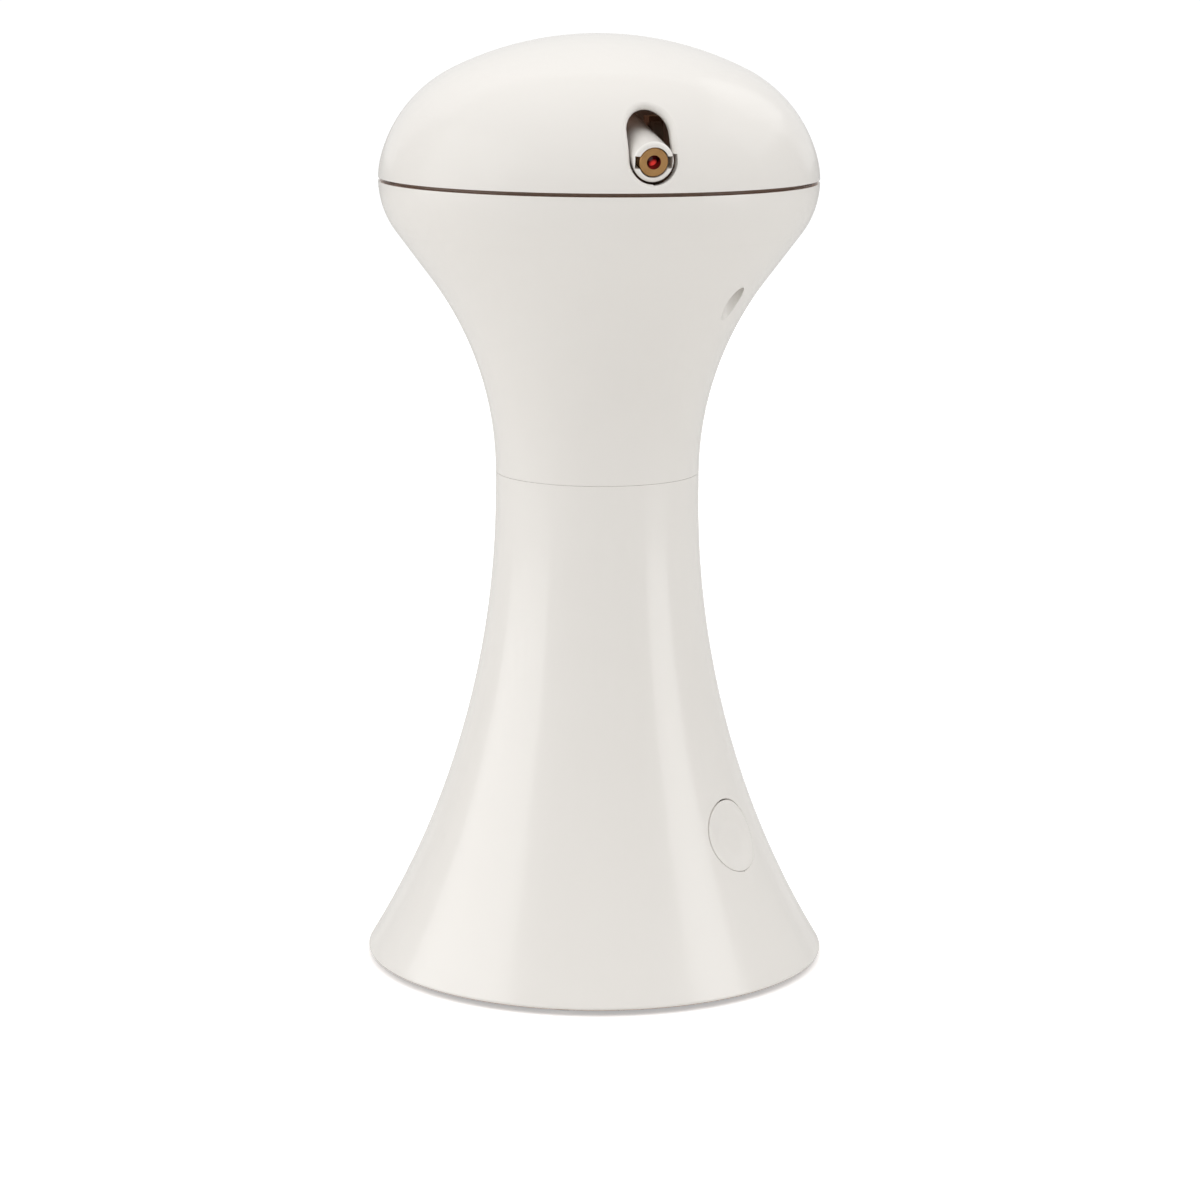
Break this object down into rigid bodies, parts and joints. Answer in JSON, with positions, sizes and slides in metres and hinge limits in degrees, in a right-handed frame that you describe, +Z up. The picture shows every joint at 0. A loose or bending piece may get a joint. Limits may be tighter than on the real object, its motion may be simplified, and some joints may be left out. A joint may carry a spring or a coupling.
{
  "type": "automatic cat laser toy",
  "caption": "Flared tower toy for cats with a motor-driven turning dome that carries two tilting laser barrels, run by cells under a twist-off door in the base.",
  "frame": {"origin": "on the tower's axis at the floor, under the feet", "axes": "+Z up along the dome's turning axis; -Y is the front, where the power button is"},
  "size_m": [0.1016, 0.1016, 0.2043],
  "materials": {
    "shell_plastic": "glossy warm-white moulded plastic",
    "inner_plastic": "dark brown matt moulded plastic",
    "rubber": "translucent white soft rubber",
    "cell_jacket": "plain dark printed-free jacket",
    "spring_steel": "bright spring steel",
    "screw_steel": "zinc-plated steel",
    "brass": "turned brass",
    "lens_glass": "clear collimating lens",
    "circuit_board": "green circuit board",
    "switch_black": "black moulded plastic",
    "gear_plastic": "natural white acetal",
    "motor_can": "drawn steel can"
  },
  "bodies": {
    "housing": {"base_shell": "shell_plastic", "upper_shell": "shell_plastic", "base_plate": "inner_plastic", "battery_box": "inner_plastic", "gear_deck": "inner_plastic", "slip_ring_drum": "inner_plastic", "rubber_foot_1": "rubber", "rubber_foot_2": "rubber", "rubber_foot_3": "rubber", "rubber_foot_4": "rubber", "aa_cell_1": "cell_jacket", "aa_cell_2": "cell_jacket", "aa_cell_3": "cell_jacket", "aa_cell_4": "cell_jacket", "upper_contacts": "spring_steel", "retaining_clip": "spring_steel", "idler_axle": "spring_steel", "base_screws": "screw_steel", "box_screws": "screw_steel", "waist_screws": "screw_steel", "deck_screws": "screw_steel", "motor_screws": "screw_steel", "board_screws": "screw_steel", "slip_rings": "brass", "control_board": "circuit_board", "tact_switch": "switch_black", "motor": "motor_can"},
    "dome": {"dome_shell": "shell_plastic", "carrier": "inner_plastic", "dome_gear": "gear_plastic", "dome_screws": "screw_steel", "brush_holder": "inner_plastic", "brush_contacts": "brass"},
    "laser_1": {"laser_barrel_1": "shell_plastic", "laser_module_1": "brass", "laser_lens_1": "lens_glass", "laser_board_1": "circuit_board"},
    "laser_2": {"laser_barrel_2": "shell_plastic", "laser_module_2": "brass", "laser_lens_2": "lens_glass", "laser_board_2": "circuit_board"},
    "idler": {"idler_gear": "gear_plastic"},
    "pinion": {"motor_pinion": "gear_plastic", "motor_shaft": "spring_steel"},
    "button": {"power_button": "shell_plastic", "switch_plunger": "switch_black"},
    "door": {"battery_door": "inner_plastic", "door_contacts": "spring_steel"}
  },
  "joints": [
    {"name": "dome_spin", "type": "hinge", "parent": "housing", "child": "dome", "pos_m": [0, 0, 0.1732], "axis": [0, 0, 1], "continuous": true},
    {"name": "idler_spin", "type": "hinge", "parent": "housing", "child": "idler", "pos_m": [0.0231, 0, 0.165], "axis": [0, 0, 1], "continuous": true},
    {"name": "pinion_spin", "type": "hinge", "parent": "housing", "child": "pinion", "pos_m": [0.01072, 0.00539, 0.163], "axis": [0, 0, 1], "continuous": true},
    {"name": "laser_tilt_1", "type": "hinge", "parent": "dome", "child": "laser_1", "pos_m": [-0.01786, -0.01889, 0.184], "axis": [-0.7266, 0.6871, 0], "range_deg": [0, 15]},
    {"name": "laser_tilt_2", "type": "hinge", "parent": "dome", "child": "laser_2", "pos_m": [0.01786, 0.01889, 0.184], "axis": [0.7266, -0.6871, 0], "range_deg": [0, 15]},
    {"name": "button_press", "type": "slide", "parent": "housing", "child": "button", "axis": [0, 0.9309, -0.3652], "range_m": [0, 0.0006], "stiffness_N_per_m": 1500, "springref_m": -0.0002},
    {"name": "door_twist", "type": "hinge", "parent": "housing", "child": "door", "pos_m": [0, 0, 0.003], "axis": [0, 0, 1], "range_deg": [0, 40]}
  ],
  "couplings": [
    {"joint": "idler_spin", "follows": "dome_spin", "ratio": -3.125},
    {"joint": "pinion_spin", "follows": "dome_spin", "ratio": 8.9286}
  ]
}
